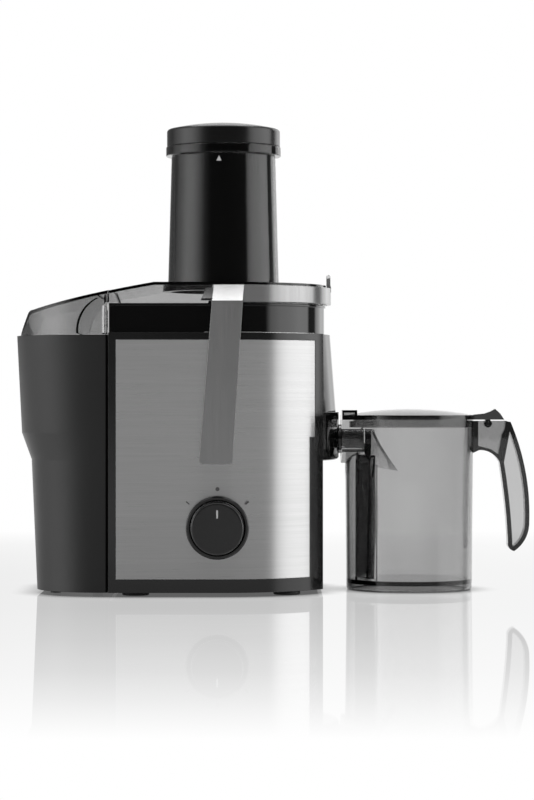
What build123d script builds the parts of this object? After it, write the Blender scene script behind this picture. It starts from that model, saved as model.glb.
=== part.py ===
from build123d import *
import os
from math import asin, cos, hypot, pi, sin

# Centrifugal juicer.  Millimetres, +Z up, seen from the front along +Y.
# Every function works in the motor's frame: the motor shaft is the Z axis, the table is Z = 0,
# the control knob looks along -Y and the jug stands at +X.  save() then moves the finished
# pieces so that the origin lies under the middle of the whole appliance.

# ---------------------------------------------------------------- clearances
SLIP = 0.3            # between curved faces that slide or lift past each other
SEAT = 0.1            # between a piece and the recess or hole that holds it
RUNNING = 0.06        # radial, between a turning shaft and its bearing or bush
GAP = 0.4             # between a lid or cap and the rim that it sits on

# ---------------------------------------------------------------- motor housing
HOUSING_DEPTH = 176.0     # front to back, also the diameter of the rounded end
HOUSING_LEFT = 83.2       # from the shaft to the flat wall beside the pulp container
HOUSING_END = 75.2        # from the shaft to the flat end beside the jug
HOUSING_TOP = 194.0
HOUSING_BOTTOM = 3.0
HOUSING_WALL = 3.0
PANEL_THICK = 1.0         # stainless skin
PANEL_LOW = 12.9
PANEL_HIGH = HOUSING_TOP - 5.2
PANEL_LEFT = 77.6         # left edge of the skin, from the shaft
PANEL_RIGHT = 69.0        # right edge of the skin, from the shaft
PANEL_STEP = 4.0          # the skin is narrower below PANEL_STEP_Z, beside the jug
PANEL_STEP_Z = 117.0
FOOT_RADIUS = 10.0
SCREW_RADIUS = 2.0
LEFT_FOOT = (-64.0, 66.0)
RIGHT_FOOT = (48.0, 58.0)
DECK_Z = HOUSING_TOP - 51.0   # underside of the shelf that carries the bowl
DECK_THICK = 3.0

# ---------------------------------------------------------------- motor
SHAFT_RADIUS = 4.0
STATOR = (92.0, 80.0)     # width and depth of the lamination stack
STATOR_LOW = 76.0
STATOR_HIGH = 112.0
ARMATURE_RADIUS = 24.0
AIR_GAP = 0.8
BOLT_X = 38.0
BOLT_Y = 32.0
BRACKET_THICK = 3.0
LOWER_BRACKET_Z = 42.0
UPPER_BRACKET_Z = 128.0
BEARING_RADIUS = 11.0
BEARING_WIDTH = 7.0
COMMUTATOR_RADIUS = 12.0
COMMUTATOR_LOW = 52.0
COMMUTATOR_HIGH = 64.0
FAN_RADIUS = 34.0
FAN_LOW = 121.0
FAN_HIGH = 127.0
BOARD_Z = 14.0
BOARD_POSTS_X = (-74.0, -60.0)
BOARD_POSTS_Y = (-40.0, 40.0)
INLET_X = -50.0
INLET_Z = 24.0

# ---------------------------------------------------------------- bowl and basket
BOWL_RADIUS = 77.0
BOWL_WALL = 2.2
BOWL_TOP = HOUSING_TOP + 22.0
BOWL_FLANGE = 1.0
CHIMNEY_RADIUS = 18.0
CHIMNEY_TOP = DECK_Z + 21.0
SEAL_HEIGHT = 2.0
COUPLING_RADIUS = 10.0
COUPLING_LOW = DECK_Z + 9.0
COUPLING_HIGH = DECK_Z + 24.0
TOOTH_HEIGHT = 1.2
TEETH = 12
GRATER_Z = DECK_Z + 25.0
GRATER_RADIUS = BOWL_RADIUS - 27.0
SCREEN_TOP = GRATER_Z + 37.0
SCREEN_TOP_RADIUS = BOWL_RADIUS - 8.0
SCREEN_THICK = 0.8
RIM_RADIUS = BOWL_RADIUS - 4.0

# ---------------------------------------------------------------- spout
DUCT_LOW = 99.0
DUCT_BULGE_Z = 135.3      # the duct is widest below this height
DUCT_RADIUS = 88.2        # about the shaft, below DUCT_BULGE_Z
DUCT_SHOULDER_RADIUS = 85.9
DUCT_TOP_RADIUS = 81.4
DUCT_WALL = 2.0
DUCT_HALF = 17.0          # half of the channel's width
DUCT_EDGE = 3.0           # rounding of its lower edge
SPOUT_Z = 114.9
SPOUT_RADIUS = 7.4
SPOUT_WALL = 1.6
SPOUT_END = 116.0
BEAK_TIP = (133.5, 90.2)

# ---------------------------------------------------------------- lid, chute, pusher
LID_RADIUS = BOWL_RADIUS + 1.4
LID_WALL = 2.2
LID_TOP = BOWL_TOP + 15.6
LID_OVERHANG = 2.8        # the cover stops this far inside the container's outer wall
CHUTE_RADIUS = 42.4       # at the lid
CHUTE_DRAFT = 2.7         # the chute is this much slimmer at its top
CHUTE_WALL = 2.2
CHUTE_TOP = LID_TOP + 105.9
COLLAR_RADIUS = CHUTE_RADIUS + 1.5
COLLAR_HEIGHT = 7.0
PUSHER_LOW = LID_TOP
PUSHER_WALL = 2.4
CAP_RADIUS = CHUTE_RADIUS + 0.8
CAP_SIDE = 12.5
CAP_CROWN = 5.4

# ---------------------------------------------------------------- pulp container
BIN_FRONT = 86.0          # half of its depth
BIN_CORNER = 65.0         # radius of the two corners away from the housing
BIN_WALL = 2.2
BIN_TOP = HOUSING_TOP - 1.4
BIN_REACH = 155.7         # from the shaft to its far side at the rim
BIN_GRIP_HIGH = (120.0, 151.9)   # height and reach above the finger step
BIN_GRIP_LOW = (100.0, 143.9)    # height and reach below the finger step
BIN_BASE_REACH = 139.3
BIN_LOW = 3.0

# ---------------------------------------------------------------- locking arm
ARM_PIVOT = (-3.5, 108.0)      # X and Z
ARM_THICK = 3.0
ARM_INNER = LID_RADIUS + 0.8   # inside radius of the band
ARM_LOW = BOWL_TOP + 1.0
ARM_HIGH = LID_TOP - 2.1
STRAP_FACE = 100.0             # outer face of each strap, from the shaft
STRAP_BOTTOM = 97.6
STRAP_BEND = BOWL_TOP + 1.0             # height where the strap leans in to the band
STRAP_LOW_MID = -4.15          # middle of the strap at its bottom
STRAP_TOP_MID = 4.4            # middle of the strap at its bend
STRAP_LOW_WIDTH = 24.7
STRAP_TOP_WIDTH = 22.2
FIN_HEIGHT = 10.6              # above the band
FIN_WIDTH = 14.0
FIN_STEP = 0.5                 # the fin stands this far in from the band, clear of the lid
PIN_RADIUS = 4.0
BUSH_RADIUS = 10.0

# ---------------------------------------------------------------- knob
KNOB_X = -3.0
KNOB_Z = 50.7
KNOB_RADIUS = 19.2
KNOB_FACE = 104.0              # front of the knob, from the shaft
BEZEL_RADIUS = 23.2
BEZEL_DEPTH = 4.0
KNOB_SHAFT_RADIUS = 3.0

# ---------------------------------------------------------------- jug
JUG_RADIUS = 49.2              # at its rim
JUG_BASE_RADIUS = JUG_RADIUS - 1.3
JUG_X = DUCT_RADIUS + 4.5 + JUG_RADIUS
JUG_HEIGHT = 129.2
JUG_WALL = 2.5
JUG_FLOOR = 8.3
JUG_FLOOR_THICK = 3.4
PORT_HALF = 31.6               # half width of the opening for the spout
PORT_LOW = 98.8                # where its two sloping edges meet the notch for the beak
NECK_END = DUCT_RADIUS + 1.7   # the lips around the opening reach this far towards the duct
NECK_WALL = 2.2
HINGE = (JUG_X + JUG_RADIUS + 10.8, 126.5)         # X and Z
HINGE_RADIUS = 1.5
HINGE_EYE = 3.0
HANDLE_HALF = 7.0              # half of the handle's width
HANDLE_RIM = 3.3
HANDLE_REACH = JUG_X + JUG_RADIUS + 42.2
LID_TAB_HALF = 4.6
TAB_NOSE = 12.6                # reach of the lid's thumb tab past the hinge pin
CHEEK = 2.0
HOOD_HALF = 20.0               # half width of the lid's raised hood over the spout
HOOD_RISE = 3.8
SEPARATOR_RADIUS = 61.0        # outer radius of the separator's curve
SEPARATOR_X = JUG_X - JUG_RADIUS + 7.8    # the separator's nearest point to the spout
SEPARATOR_THICK = 1.8
SEPARATOR_TOP = 103.0
SEPARATOR_RIB = JUG_X - 26.5   # the ribs that hold it against the wall
RIB_WIDTH = 1.2

HALF_DEPTH = HOUSING_DEPTH / 2
MOUNT_Z = LOWER_BRACKET_Z - 8
CHUTE_TOP_RADIUS = CHUTE_RADIUS - CHUTE_DRAFT
CHUTE_BORE = CHUTE_TOP_RADIUS - CHUTE_WALL
DECK_TOP = DECK_Z + DECK_THICK
BOWL_LOW = DECK_TOP + SEAL_HEIGHT
BOWL_FLOOR = BOWL_LOW + BOWL_WALL
BRIDGE_LOW = HOUSING_TOP + SLIP
LID_LOW = BOWL_TOP + SLIP
LID_COVER_LOW = BIN_TOP + GAP
BIN_NEAR = HOUSING_LEFT + 2 * SLIP
ORIGIN_X = (HANDLE_REACH - BIN_REACH) / 2


# ---------------------------------------------------------------- building blocks
def block(x0, x1, y0, y1, z0, z1):
    low = (Align.MIN, Align.MIN, Align.MIN)
    return Pos(x0, y0, z0) * Box(x1 - x0, y1 - y0, z1 - z0, align=low)


def disc(radius, z0, z1, x=0.0, y=0.0):
    return Pos(x, y, z0) * extrude(Circle(radius), z1 - z0)


def frustum(low_radius, high_radius, z0, z1, x=0.0):
    """Cone between two heights, standing on the axis at X = x."""
    base = (Align.CENTER, Align.CENTER, Align.MIN)
    return Pos(x, 0, z0) * Cone(low_radius, high_radius, z1 - z0, align=base)


def ring(outer, inner, z0, z1, x=0.0, y=0.0):
    return Pos(x, y, z0) * extrude(Circle(outer) - Circle(inner), z1 - z0)


def rod_y(radius, x, z, y0, y1):
    return extrude(Plane((x, y0, z), z_dir=(0, 1, 0)) * Circle(radius), y1 - y0)


def rod_x(radius, y, z, x0, x1):
    return extrude(Plane((x0, y, z), z_dir=(1, 0, 0)) * Circle(radius), x1 - x0)


def side_prism(outline, half):
    """Solid between Y = -half and +half over an outline of (X, Z) points or edges."""
    if isinstance(outline, list):
        outline = Polyline([(x, -half, z) for x, z in outline], close=True)
    return extrude(make_face(outline), amount=2 * half, dir=(0, 1, 0))


def front_prism(points, x0, x1):
    """Solid between X = x0 and x1 over an outline of (Y, Z) points."""
    outline = Polyline([(x0, y, z) for y, z in points], close=True)
    return extrude(make_face(outline), amount=x1 - x0, dir=(1, 0, 0))


def both_sides(piece):
    """A piece and its mirror image across the plane Y = 0."""
    return [piece, mirror(piece, about=Plane.XZ)]


def mirrored(piece):
    return group(both_sides(piece))


def group(pieces):
    return Compound([solid for piece in pieces for solid in piece.solids()])


def housing_plan(inset=0.0):
    """Flat on the left, rounded on the right and cut flat beside the jug."""
    half = HALF_DEPTH - inset
    left = -HOUSING_LEFT + inset
    right = HOUSING_END - inset
    square = Pos(left / 2, 0) * Rectangle(-left, 2 * half)
    limits = Pos((left + right) / 2, 0) * Rectangle(right - left, 2 * half)
    return (square + Circle(half)) & limits


def housing_solid(inset, z0, z1):
    return Pos(0, 0, z0) * extrude(housing_plan(inset), z1 - z0)


def bowl_plan(grow=0.0, left=HOUSING_LEFT):
    """Round bowl with a straight-sided bridge to the pulp container."""
    half = BOWL_RADIUS + grow
    return Circle(half) + Pos(-left / 2, 0) * Rectangle(left, 2 * half)


def dome_arc(radius, edge, crown):
    """Half of a dome's section, from its edge to the Z axis, where it lies level."""
    height = crown - edge
    sphere = (radius**2 + height**2) / (2 * height)
    half_turn = asin(radius / sphere) / 2
    middle = (sphere * sin(half_turn), 0, crown - sphere * (1 - cos(half_turn)))
    return ThreePointArc((radius, 0, edge), middle, (0, 0, crown))


def foot_places():
    return [(x, side * y) for x, y in (LEFT_FOOT, RIGHT_FOOT) for side in (-1, 1)]


def bolt_places():
    return [(sx * BOLT_X, sy * BOLT_Y) for sx in (-1, 1) for sy in (-1, 1)]


# ---------------------------------------------------------------- housing and its skins
def panel_zone(grow=0.0):
    """The part of the wall that the front skin covers, as a solid around it."""
    low, high = PANEL_LOW - grow, PANEL_HIGH + grow
    wide = block(-PANEL_LEFT - grow, PANEL_RIGHT + grow, -HALF_DEPTH - 5, 0, low, high)
    notch = block(
        PANEL_RIGHT - PANEL_STEP + grow, PANEL_RIGHT + 5, -HALF_DEPTH - 5, 0, low - 5, PANEL_STEP_Z - grow
    )
    return wide - notch


def housing_shell():
    shell = housing_solid(0, HOUSING_BOTTOM, HOUSING_TOP)
    shell -= housing_solid(HOUSING_WALL, HOUSING_BOTTOM - 1, HOUSING_TOP - HOUSING_WALL)
    recess = housing_solid(-1, PANEL_LOW - 5, PANEL_HIGH + 5)
    recess -= housing_solid(PANEL_THICK + SEAT, PANEL_LOW - 6, PANEL_HIGH + 6)
    for zone in both_sides(panel_zone(SEAT)):
        shell -= recess & zone
    # the bowl drops in from above and its duct leaves through the end wall
    shell -= disc(BOWL_RADIUS + 2 * SLIP, DECK_TOP, HOUSING_TOP + 1)
    duct_half = DUCT_HALF + DUCT_WALL + SLIP
    shell -= block(
        HOUSING_END - 2 * HOUSING_WALL, HOUSING_END + 1, -duct_half, duct_half, DECK_TOP, HOUSING_TOP + 1
    )
    # screw posts, each tied to the wall by a rib, and ledges for the shelf
    wall_zone = housing_solid(HOUSING_WALL / 2, HOUSING_BOTTOM, HOUSING_TOP - HOUSING_WALL)
    post_low = HOUSING_BOTTOM + HOUSING_WALL
    for x, y in foot_places():
        side = 1 if y > 0 else -1
        edge = sorted((y, side * HALF_DEPTH))
        rib = block(x - 1.5, x + 1.5, edge[0], edge[1], post_low, 30) & wall_zone
        post = disc(5, post_low, 30, x, y) + rib
        shell += post - disc(SCREW_RADIUS + SEAT, post_low, 24, x, y)
        ledge = block(x - 6, x + 6, edge[0], edge[1], DECK_Z - 8, DECK_Z)
        shell += ledge & wall_zone
    for bush in both_sides(bush_solid(SEAT)):
        shell -= bush
    shell -= rod_y(switch_neck_radius() + SEAT, KNOB_X, KNOB_Z, -HALF_DEPTH - 1, -HALF_DEPTH + 5)
    shell -= rod_y(6 + SEAT, INLET_X, INLET_Z, HALF_DEPTH - 5, HALF_DEPTH + 1)
    return shell


def steel_skin():
    skin = housing_solid(SEAT, PANEL_LOW, PANEL_HIGH)
    skin -= housing_solid(SEAT + PANEL_THICK, PANEL_LOW - 1, PANEL_HIGH + 1)
    return skin & panel_zone()


def front_steel_panel():
    skin = steel_skin() - bush_solid(SEAT)
    return skin - rod_y(switch_neck_radius() + SEAT, KNOB_X, KNOB_Z, -HALF_DEPTH - 1, -HALF_DEPTH + 5)


def rear_steel_panel():
    skin = mirror(steel_skin() - bush_solid(SEAT), about=Plane.XZ)
    return skin - rod_y(6 + SEAT, INLET_X, INLET_Z, HALF_DEPTH - 5, HALF_DEPTH + 1)


def base_plate():
    top = HOUSING_BOTTOM + HOUSING_WALL
    plate = housing_solid(HOUSING_WALL + SEAT, HOUSING_BOTTOM, top - SEAT)
    for x, y in bolt_places():
        plate += disc(7, top - 1, MOUNT_Z, x, y) - disc(SCREW_RADIUS + 2, top, MOUNT_Z + 1, x, y)
    for x in BOARD_POSTS_X:
        for y in BOARD_POSTS_Y:
            plate += disc(2.5, top - 1, BOARD_Z, x, y)
    for x, y in foot_places():
        plate -= disc(SCREW_RADIUS + SEAT, HOUSING_BOTTOM - 1, top + 1, x, y)
    for step in range(-4, 5):
        plate -= block(-24, 24, step * 5 - 1.2, step * 5 + 1.2, HOUSING_BOTTOM - 1, top + 1)
    return plate


def rubber_feet():
    feet = []
    for x, y in foot_places():
        foot = ring(FOOT_RADIUS, 4.2, 0, HOUSING_BOTTOM, x, y)
        feet.append(chamfer(foot.edges().group_by(Axis.Z)[0], 0.6))
    return group(feet)


def base_screws():
    screws = []
    for x, y in foot_places():
        head = disc(3.8, 1.2, HOUSING_BOTTOM, x, y)
        head -= Pos(x, y, 1.2) * (Box(5, 0.9, 1.6) + Box(0.9, 5, 1.6))
        screws.append(head + disc(SCREW_RADIUS, HOUSING_BOTTOM, 22, x, y))
    return group(screws)


def motor_deck():
    deck = housing_solid(HOUSING_WALL + SEAT, DECK_Z, DECK_TOP)
    deck += ring(14, 9 + SEAT, DECK_TOP, DECK_TOP + SEAL_HEIGHT)
    deck -= disc(9 + SEAT, DECK_Z - 1, DECK_TOP + 5)
    return deck


# ---------------------------------------------------------------- motor
def bracket(z, leg_low, leg_high, boss_low, boss_high):
    """Motor end frame: a windowed plate, four legs and a bearing boss."""
    plate = Pos(0, 0, z) * extrude(RectangleRounded(*STATOR, 10), BRACKET_THICK)
    for side in (-1, 1):
        window = block(-28, 28, 0, 12, z - 1, z + BRACKET_THICK + 1)
        plate -= Pos(0, side * 27 - 6, 0) * window
        plate -= block(side * 30 - 7, side * 30 + 7, -16, 16, z - 1, z + BRACKET_THICK + 1)
    plate += disc(BEARING_RADIUS + 3, boss_low, boss_high)
    plate -= disc(BEARING_RADIUS + 0.02, boss_low - 1, boss_high + 1)
    for x, y in bolt_places():
        plate += disc(4.5, leg_low, leg_high, x, y)
        plate -= disc(SCREW_RADIUS + SEAT, min(z, leg_low) - 1, max(z, leg_high) + 9, x, y)
    return plate


def lower_bracket():
    z = LOWER_BRACKET_Z
    return bracket(z, z, STATOR_LOW, z - BEARING_WIDTH, z + BRACKET_THICK)


def upper_bracket():
    z = UPPER_BRACKET_Z
    return bracket(z, STATOR_HIGH, z + BRACKET_THICK, z, z + BRACKET_THICK + BEARING_WIDTH)


def bearing(z):
    outer = ring(BEARING_RADIUS, BEARING_RADIUS - 2, z, z + BEARING_WIDTH)
    inner = ring(SHAFT_RADIUS + 2, SHAFT_RADIUS + RUNNING, z, z + BEARING_WIDTH)
    shield = ring(BEARING_RADIUS - 1.5, SHAFT_RADIUS + 1.5, z + 1, z + BEARING_WIDTH - 1)
    return outer + inner + shield


def lower_bearing():
    return bearing(LOWER_BRACKET_Z - BEARING_WIDTH + 1)


def upper_bearing():
    return bearing(UPPER_BRACKET_Z + 1)


def stator_slots():
    """The two slots, front and back, that hold the field coils."""
    bore = ARMATURE_RADIUS + AIR_GAP
    return (Circle(bore + 9) - Circle(bore - 1)) & Rectangle(40, 100)


def stator_core():
    height = STATOR_HIGH - STATOR_LOW
    plan = RectangleRounded(*STATOR, 10) - Circle(ARMATURE_RADIUS + AIR_GAP) - stator_slots()
    core = Pos(0, 0, STATOR_LOW) * extrude(plan, height)
    for x, y in bolt_places():
        core -= disc(SCREW_RADIUS + SEAT, STATOR_LOW - 1, STATOR_HIGH + 1, x, y)
    return core


def field_coils():
    bore = ARMATURE_RADIUS + AIR_GAP
    plan = (Circle(bore + 8.7) - Circle(bore + 0.4)) & Rectangle(39, 100)
    return Pos(0, 0, STATOR_LOW - 6) * extrude(plan, STATOR_HIGH - STATOR_LOW + 12)


def motor_bolts():
    bolts = []
    top = UPPER_BRACKET_Z + BRACKET_THICK
    for x, y in bolt_places():
        shank = disc(SCREW_RADIUS, MOUNT_Z - 4, top, x, y)
        head = Pos(x, y, top) * extrude(RegularPolygon(3.6, 6), 2.6)
        bolts.append(shank + head)
    return group(bolts)


def motor_bushes():
    bushes = []
    for x, y in bolt_places():
        bush = ring(7, SCREW_RADIUS + SEAT, MOUNT_Z, LOWER_BRACKET_Z, x, y)
        waist = ring(9, 5.6, MOUNT_Z + 2.5, LOWER_BRACKET_Z - 2.5, x, y)
        bushes.append(bush - waist)
    return group(bushes)


def brush_holders():
    base = LOWER_BRACKET_Z + BRACKET_THICK
    holders = []
    for side in (-1, 1):
        x0, x1 = sorted((side * 17, side * 33))
        holder = block(x0, x1, -5, 5, base + 5, COMMUTATOR_HIGH + 1)
        holder += block(x0, x1, -5, -3.5, base - BRACKET_THICK, base + 6)
        holder += block(x0, x1, 3.5, 5, base - BRACKET_THICK, base + 6)
        holder -= block(x0 - 1, x1 + 1, -3 - SEAT, 3 + SEAT, *brush_heights(SEAT))
        holders.append(holder - block(-40, 40, -6, 6, base - BRACKET_THICK - 1, base))
    return group(holders)


def brush_heights(grow=0.0):
    return COMMUTATOR_LOW + 2 - grow, COMMUTATOR_HIGH - 2 + grow


def carbon_brushes():
    brushes = []
    for side in (-1, 1):
        x0, x1 = sorted((side * (COMMUTATOR_RADIUS - 1), side * 31))
        brush = block(x0, x1, -3, 3, *brush_heights())
        brushes.append(brush - disc(COMMUTATOR_RADIUS + SLIP, 0, COMMUTATOR_HIGH + 9))
    return group(brushes)


def motor_shaft():
    shaft = disc(SHAFT_RADIUS, LOWER_BRACKET_Z - BEARING_WIDTH, COUPLING_HIGH - 2)
    ends = shaft.edges().filter_by(GeomType.CIRCLE)
    return chamfer(ends, 0.6)


def armature_core():
    slot = Pos(ARMATURE_RADIUS - 3, 0) * Rectangle(8, 2)
    plan = Circle(ARMATURE_RADIUS) - Circle(SHAFT_RADIUS + 0.02)
    for step in range(14):
        plan -= Rot(0, 0, step * 360 / 14) * slot
    return Pos(0, 0, STATOR_LOW) * extrude(plan, STATOR_HIGH - STATOR_LOW)


def armature_windings():
    coils = []
    for low, high in ((STATOR_LOW - 9, STATOR_LOW), (STATOR_HIGH, STATOR_HIGH + 8)):
        coil = ring(20, SHAFT_RADIUS + 0.5, low, high)
        outer = coil.edges().filter_by(GeomType.CIRCLE).sort_by(SortBy.RADIUS)[-2:]
        coils.append(fillet(outer, 2.5))
    return group(coils)


def commutator():
    plan = Circle(COMMUTATOR_RADIUS) - Circle(SHAFT_RADIUS + 0.02)
    slot = Pos(COMMUTATOR_RADIUS, 0) * Rectangle(4, 0.6)
    for step in range(14):
        plan -= Rot(0, 0, step * 360 / 14) * slot
    return Pos(0, 0, COMMUTATOR_LOW) * extrude(plan, COMMUTATOR_HIGH - COMMUTATOR_LOW)


def cooling_fan():
    fan = ring(9, SHAFT_RADIUS + 0.02, FAN_LOW, FAN_HIGH)
    fan += ring(FAN_RADIUS, SHAFT_RADIUS + 4, FAN_LOW, FAN_LOW + 1.4)
    blade = block(8, FAN_RADIUS, -0.7, 0.7, FAN_LOW + 1, FAN_HIGH)
    for step in range(12):
        fan += Rot(0, 0, step * 30) * Pos(0, 3, 0) * blade & disc(FAN_RADIUS, FAN_LOW, FAN_HIGH)
    return fan


def spline_plan(radius, grow=0.0):
    """Toothed outline of the drive coupling, or of the hub that fits it."""
    plan = Circle(radius + grow)
    tooth = Pos(radius, 0) * Rectangle(2 * (TOOTH_HEIGHT + grow), 2.4 + 2 * grow)
    for step in range(TEETH):
        plan += Rot(0, 0, step * 360 / TEETH) * tooth
    return plan


def drive_coupling():
    height = COUPLING_HIGH - COUPLING_LOW
    coupling = Pos(0, 0, COUPLING_LOW) * extrude(spline_plan(COUPLING_RADIUS), height)
    return coupling - disc(SHAFT_RADIUS + 0.02, COUPLING_LOW - 1, COUPLING_HIGH - 2)


def shaft_seal():
    seal = ring(9, SHAFT_RADIUS + RUNNING, DECK_Z, DECK_TOP + SEAL_HEIGHT + 1)
    return seal - ring(7.5, SHAFT_RADIUS + 1.2, DECK_Z - 1, DECK_TOP)


# ---------------------------------------------------------------- controls inside the housing
def switch_neck_radius():
    return KNOB_SHAFT_RADIUS + 3.5


def speed_switch():
    inside = -HALF_DEPTH + HOUSING_WALL + SEAT
    low, high = KNOB_Z - 13, KNOB_Z + 13
    body = block(KNOB_X - 13, KNOB_X + 13, inside, inside + 20, low, high)
    body &= housing_solid(HOUSING_WALL + SEAT, low, high)
    body += rod_y(switch_neck_radius(), KNOB_X, KNOB_Z, -HALF_DEPTH + PANEL_THICK, inside + 1)
    for step in (-8, 0, 8):
        tag = block(KNOB_X + step - 2, KNOB_X + step + 2, inside + 19, inside + 27, KNOB_Z - 8, KNOB_Z - 7)
        body += tag
    return body - rod_y(KNOB_SHAFT_RADIUS + RUNNING, KNOB_X, KNOB_Z, -HALF_DEPTH, inside + 17)


def knob_shaft():
    return rod_y(KNOB_SHAFT_RADIUS, KNOB_X, KNOB_Z, -KNOB_FACE + 4, -HALF_DEPTH + HOUSING_WALL + 14)


def knob_cap():
    face = rod_y(KNOB_RADIUS, KNOB_X, KNOB_Z, -KNOB_FACE, -HALF_DEPTH - 1.2)
    rim = face.edges().filter_by(GeomType.CIRCLE).sort_by(Axis.Y)[0]
    face = fillet(rim, 1.6)
    face -= rod_y(KNOB_RADIUS - 2.2, KNOB_X, KNOB_Z, -KNOB_FACE + 3, -HALF_DEPTH)
    face += rod_y(KNOB_SHAFT_RADIUS + 3.5, KNOB_X, KNOB_Z, -KNOB_FACE + 2, -HALF_DEPTH - 4)
    face -= rod_y(KNOB_SHAFT_RADIUS + 0.02, KNOB_X, KNOB_Z, -KNOB_FACE + 4, -HALF_DEPTH)
    return face - pointer_solid(SEAT / 2)


def pointer_solid(grow=0.0):
    half, low, high = 0.6 + grow, KNOB_Z + 7.6 - grow, KNOB_Z + 13.6 + grow
    return block(KNOB_X - half, KNOB_X + half, -KNOB_FACE - 1, -KNOB_FACE + 0.8, low, high)


def knob_pointer():
    return pointer_solid() & block(KNOB_X - 9, KNOB_X + 9, -KNOB_FACE, -KNOB_FACE + 5, KNOB_Z, KNOB_Z + 30)


def knob_bezel():
    front = -HALF_DEPTH + SEAT
    bezel = rod_y(BEZEL_RADIUS, KNOB_X, KNOB_Z, front - BEZEL_DEPTH, front + 5)
    bezel -= rod_y(KNOB_RADIUS + 2 * SLIP, KNOB_X, KNOB_Z, front - BEZEL_DEPTH - 1, front + 6)
    rims = bezel.edges().filter_by(GeomType.CIRCLE).group_by(Axis.Y)[0]
    return chamfer(rims, 0.9) - housing_solid(SEAT, PANEL_LOW, PANEL_HIGH)


def control_board():
    x0, x1 = BOARD_POSTS_X
    y0, y1 = BOARD_POSTS_Y
    board = block(x0 - 4, x1 + 4, y0 - 4, y1 + 4, BOARD_Z, BOARD_Z + 1.6)
    on_board = BOARD_Z + 1
    board += disc(5.5, on_board, BOARD_Z + 22, x1 - 7, -20)
    board += disc(4, on_board, BOARD_Z + 16, x1 - 7, -6)
    board += block(x0 + 2, x1 - 2, 6, 18, on_board, BOARD_Z + 12)
    board += block(x0 + 3, x0 + 5, 22, 36, on_board, BOARD_Z + 26)
    board += block(x1 - 8, x1, 24, 36, on_board, BOARD_Z + 10)
    return board


def interlock_switch():
    inside = HALF_DEPTH - HOUSING_WALL - SEAT
    body = block(14, 34, inside - 12, inside, 102, 114) & housing_solid(HOUSING_WALL + SEAT, 90, 130)
    body += block(20, 23, inside - 9, inside - 6, 113, 117)
    return body


def cable_grommet():
    wall = HALF_DEPTH - SEAT
    grommet = rod_y(9, INLET_X, INLET_Z, wall, wall + 3)
    grommet += rod_y(6, INLET_X, INLET_Z, wall - HOUSING_WALL, wall + 1)
    grommet += rod_y(8, INLET_X, INLET_Z, wall - HOUSING_WALL - 2.5, wall - HOUSING_WALL)
    return grommet - rod_y(3.5, INLET_X, INLET_Z, wall - 20, wall + 9)


# ---------------------------------------------------------------- bowl and spout
def juice_bowl():
    cup = disc(BOWL_RADIUS, BOWL_LOW, BOWL_TOP)
    bridge_height = BOWL_TOP - BRIDGE_LOW
    bowl = cup + Pos(0, 0, BRIDGE_LOW) * extrude(bowl_plan(), bridge_height)
    rim_height = 1.6
    bowl += Pos(0, 0, BOWL_TOP - rim_height) * extrude(bowl_plan(BOWL_FLANGE), rim_height)
    bowl -= disc(BOWL_RADIUS - BOWL_WALL, BOWL_FLOOR, BOWL_TOP + 1)
    # the bridge is open above, towards the pulp container
    tray = Pos(0, 0, BRIDGE_LOW + BOWL_WALL) * extrude(bowl_plan(-BOWL_WALL, HOUSING_LEFT + 5), 40)
    cup_wall = ring(BOWL_RADIUS, BOWL_RADIUS - BOWL_WALL, BOWL_FLOOR, BRIDGE_LOW + 9)
    bowl = bowl - tray + (cup_wall & block(-BOWL_RADIUS, 0, -BOWL_RADIUS, BOWL_RADIUS, BOWL_FLOOR, BOWL_TOP))
    bowl += ring(CHIMNEY_RADIUS, CHIMNEY_RADIUS - BOWL_WALL, BOWL_LOW, CHIMNEY_TOP)
    bowl -= disc(CHIMNEY_RADIUS - BOWL_WALL, BOWL_LOW - 1, CHIMNEY_TOP + 1)
    return bowl - duct_mouth()


def duct_mouth():
    half = DUCT_HALF - 2.5
    return block(BOWL_RADIUS - 8, BOWL_RADIUS + 4, -half, half, BOWL_FLOOR + 2, BOWL_FLOOR + 22)


def bowl_seal():
    return ring(CHIMNEY_RADIUS + 4, CHIMNEY_RADIUS, DECK_TOP, BOWL_LOW)


def duct_solid(inset):
    """Rounded cover that completes the housing's round end: a broad foot, then a slimmer tapering neck."""
    low, high = DUCT_LOW + inset, HOUSING_TOP - inset
    shoulder = DUCT_BULGE_Z - inset
    foot = disc(DUCT_RADIUS - inset, low, shoulder)
    foot = fillet(foot.edges().group_by(Axis.Z)[0], DUCT_EDGE - inset)
    return foot + frustum(DUCT_SHOULDER_RADIUS - inset, DUCT_TOP_RADIUS - inset, shoulder, high)


def spout_housing():
    near = HOUSING_END + SLIP
    box = block(near, DUCT_RADIUS + 5, -HALF_DEPTH, HALF_DEPTH, DUCT_LOW - 1, HOUSING_TOP + 1)
    duct = duct_solid(0) & box
    half = DUCT_HALF
    hollow = block(near + DUCT_WALL, DUCT_RADIUS, -half, half, DUCT_LOW, HOUSING_TOP)
    duct -= duct_solid(DUCT_WALL) & hollow
    mouth_low = BOWL_FLOOR + 2
    duct -= block(near - 1, near + 2 * DUCT_WALL, -half + 2.5, half - 2.5, mouth_low, mouth_low + 20)
    duct -= disc(BOWL_RADIUS + SEAT / 2, BOWL_LOW - 1, HOUSING_TOP + 1)
    return duct - rod_x(SPOUT_RADIUS + SEAT / 2, 0, SPOUT_Z, DUCT_RADIUS - 3 * DUCT_WALL, DUCT_RADIUS + 1)


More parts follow.
